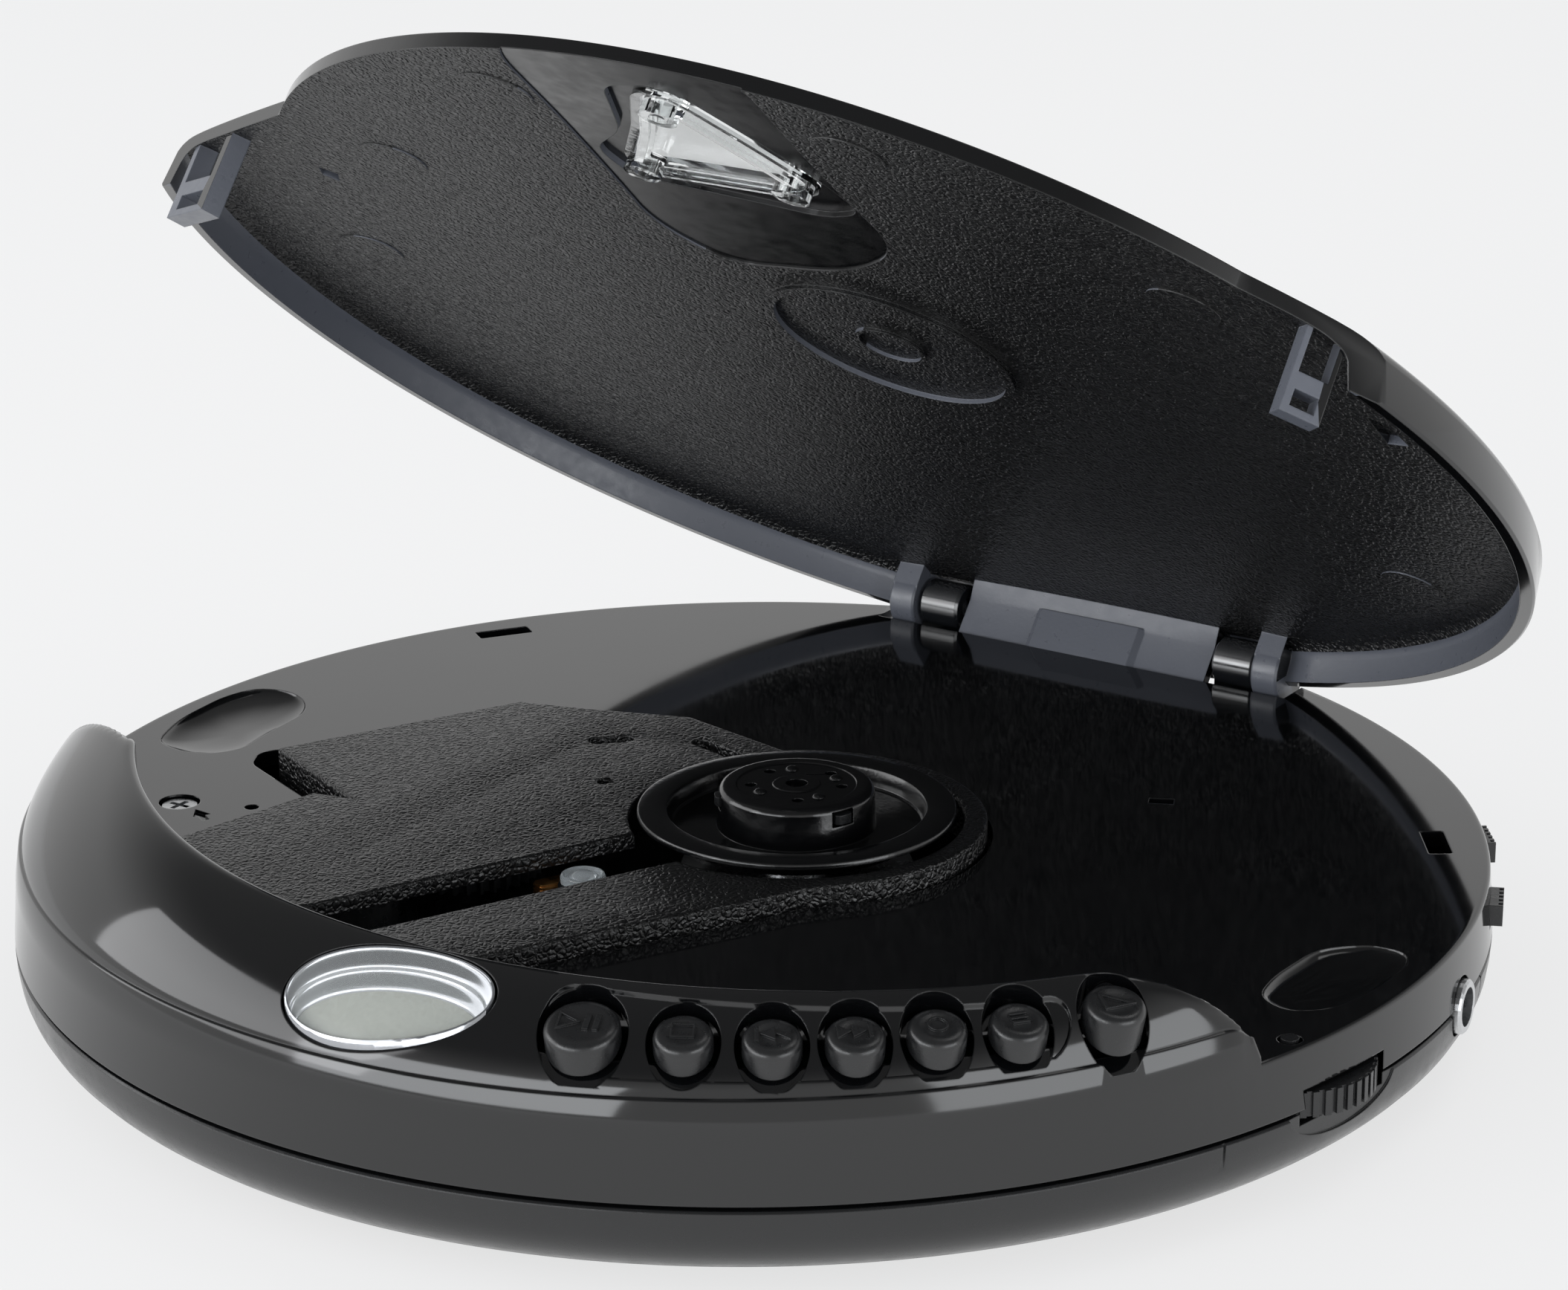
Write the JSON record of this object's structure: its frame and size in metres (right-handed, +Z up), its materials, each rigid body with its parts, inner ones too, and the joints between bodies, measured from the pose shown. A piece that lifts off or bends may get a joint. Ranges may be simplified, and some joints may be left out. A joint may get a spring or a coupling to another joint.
{
  "type": "portable disc player",
  "caption": "Round portable compact disc player in gloss black, hinged lid raised over the turntable, with a raised front brow for the display and round keys.",
  "frame": {"origin": "centre of the round body on the plane that its feet rest on", "axes": "+Z up, -Y to the front with the keys, +Y to the lid's hinge, +X to the side with the sockets"},
  "size_m": [0.1393, 0.1388, 0.0957],
  "materials": {
    "gloss_shell": "piano gloss",
    "matt_shell": "fine matt",
    "grained_cover": "leather grain",
    "keys": "satin",
    "clear_window": "clear",
    "display": "matt grey-green",
    "steel": "fine brushed",
    "dark_steel": "blackened",
    "circuit_board": "solder mask",
    "brass": "bright",
    "rubber": "matt",
    "nylon": "satin"
  },
  "bodies": {
    "base": {"top_shell": "gloss_shell", "bottom_shell": "matt_shell", "power_jack": "matt_shell", "mechanism_cover": "grained_cover", "display_window": "clear_window", "display_panel": "display", "spindle_motor": "steel", "guide_rod_front": "steel", "guide_rod_rear": "steel", "sled_motor": "steel", "gear_axle": "steel", "headphone_jack": "steel", "battery_link": "steel", "battery_contact_1": "steel", "battery_contact_2": "steel", "hinge_pin_left": "steel", "hinge_pin_right": "steel", "deck_screw": "steel", "drive_chassis": "dark_steel", "volume_pot": "dark_steel", "case_screw_1": "dark_steel", "case_screw_2": "dark_steel", "case_screw_3": "dark_steel", "case_screw_4": "dark_steel", "main_board": "circuit_board", "key_board": "circuit_board", "board_ribbon": "brass", "damper_bush_1": "rubber", "damper_bush_2": "rubber", "damper_bush_3": "rubber", "rubber_foot_1": "rubber", "rubber_foot_2": "rubber", "rubber_foot_3": "rubber", "rubber_foot_4": "rubber"},
    "lid": {"lid_shell": "gloss_shell", "lid_window": "clear_window"},
    "disc_drive": {"turntable": "matt_shell", "motor_shaft": "steel"},
    "claw_1": {"clamp_claw_1": "keys"},
    "claw_2": {"clamp_claw_2": "keys"},
    "claw_3": {"clamp_claw_3": "keys"},
    "sled": {"pickup_sled": "dark_steel", "objective_lens": "clear_window", "lens_actuator": "keys", "sled_rack": "nylon"},
    "gear": {"transfer_gear": "nylon"},
    "pinion": {"motor_pinion": "brass"},
    "play_key": {"play_button": "keys"},
    "stop_key": {"stop_button": "keys"},
    "back_key": {"back_button": "keys"},
    "next_key": {"next_button": "keys"},
    "program_key": {"program_button": "keys"},
    "mode_key": {"mode_button": "keys"},
    "open_key": {"open_button": "keys"},
    "latch": {"latch_pawl": "steel"},
    "interlock": {"interlock_pin": "keys"},
    "volume": {"volume_wheel": "matt_shell"},
    "bass_knob": {"bass_switch": "matt_shell"},
    "hold_knob": {"hold_switch": "matt_shell"},
    "door": {"battery_door": "matt_shell"}
  },
  "joints": [
    {"name": "lid_hinge", "type": "hinge", "parent": "base", "child": "lid", "pos_m": [0, 0.0637, 0.0163], "axis": [1, 0, 0], "range_deg": [0, 38]},
    {"name": "turntable_spin", "type": "hinge", "parent": "base", "child": "disc_drive", "pos_m": [0.0039, 0.0015, 0.017], "axis": [0, 0, 1], "continuous": true},
    {"name": "claw_1_slide", "type": "slide", "parent": "disc_drive", "child": "claw_1", "axis": [-0.9397, 0.342, 0], "range_m": [0, 0.0007], "stiffness_N_per_m": 300},
    {"name": "claw_2_slide", "type": "slide", "parent": "disc_drive", "child": "claw_2", "axis": [0.1736, -0.9848, 0], "range_m": [0, 0.0007], "stiffness_N_per_m": 300},
    {"name": "claw_3_slide", "type": "slide", "parent": "disc_drive", "child": "claw_3", "axis": [0.766, 0.6428, 0], "range_m": [0, 0.0007], "stiffness_N_per_m": 300},
    {"name": "sled_travel", "type": "slide", "parent": "base", "child": "sled", "axis": [-0.4226, -0.9063, 0], "range_m": [0, 0.034]},
    {"name": "gear_turn", "type": "hinge", "parent": "base", "child": "gear", "pos_m": [-0.02201, -0.01621, 0.009], "axis": [0, 0, 1], "range_deg": [-650, 0]},
    {"name": "pinion_turn", "type": "hinge", "parent": "base", "child": "pinion", "pos_m": [-0.02905, -0.02208, 0.0123], "axis": [0, 0, 1], "range_deg": [0, 2340]},
    {"name": "play_press", "type": "slide", "parent": "base", "child": "play_key", "axis": [-0.1774, 0.4347, -0.8829], "range_m": [0, 0.0004], "stiffness_N_per_m": 900},
    {"name": "stop_press", "type": "slide", "parent": "base", "child": "stop_key", "axis": [-0.2305, 0.409, -0.8829], "range_m": [0, 0.0004], "stiffness_N_per_m": 900},
    {"name": "back_press", "type": "slide", "parent": "base", "child": "back_key", "axis": [-0.2733, 0.3817, -0.8829], "range_m": [0, 0.0004], "stiffness_N_per_m": 900},
    {"name": "next_press", "type": "slide", "parent": "base", "child": "next_key", "axis": [-0.3105, 0.3522, -0.8829], "range_m": [0, 0.0004], "stiffness_N_per_m": 900},
    {"name": "program_press", "type": "slide", "parent": "base", "child": "program_key", "axis": [-0.3445, 0.319, -0.8829], "range_m": [0, 0.0004], "stiffness_N_per_m": 900},
    {"name": "mode_press", "type": "slide", "parent": "base", "child": "mode_key", "axis": [-0.3754, 0.2819, -0.8829], "range_m": [0, 0.0004], "stiffness_N_per_m": 900},
    {"name": "open_press", "type": "slide", "parent": "base", "child": "open_key", "axis": [-0.4078, 0.2326, -0.8829], "range_m": [0, 0.001], "stiffness_N_per_m": 600},
    {"name": "latch_slide", "type": "slide", "parent": "base", "child": "latch", "axis": [-0.7226, 0.6912, 0], "range_m": [0, 0.001]},
    {"name": "interlock_press", "type": "slide", "parent": "base", "child": "interlock", "axis": [0, 0, -1], "range_m": [0, 0.0005], "stiffness_N_per_m": 150},
    {"name": "volume_turn", "type": "hinge", "parent": "base", "child": "volume", "pos_m": [0.06189, -0.01002, 0.0093], "axis": [0, 0, 1], "range_deg": [-140, 140]},
    {"name": "bass_slide", "type": "slide", "parent": "base", "child": "bass_knob", "axis": [-0.4067, 0.9135, 0], "range_m": [0, 0.0024]},
    {"name": "hold_slide", "type": "slide", "parent": "base", "child": "hold_knob", "axis": [-0.6018, 0.7986, 0], "range_m": [0, 0.0024]},
    {"name": "battery_door_hinge", "type": "hinge", "parent": "base", "child": "door", "pos_m": [0, 0.03635, 0.0014], "axis": [-1, 0, 0], "range_deg": [0, 100]}
  ],
  "couplings": [
    {"joint": "gear_turn", "follows": "sled_travel", "rad_per_m": -333.33},
    {"joint": "pinion_turn", "follows": "sled_travel", "rad_per_m": 1200},
    {"joint": "latch_slide", "follows": "open_press", "ratio": 1}
  ]
}
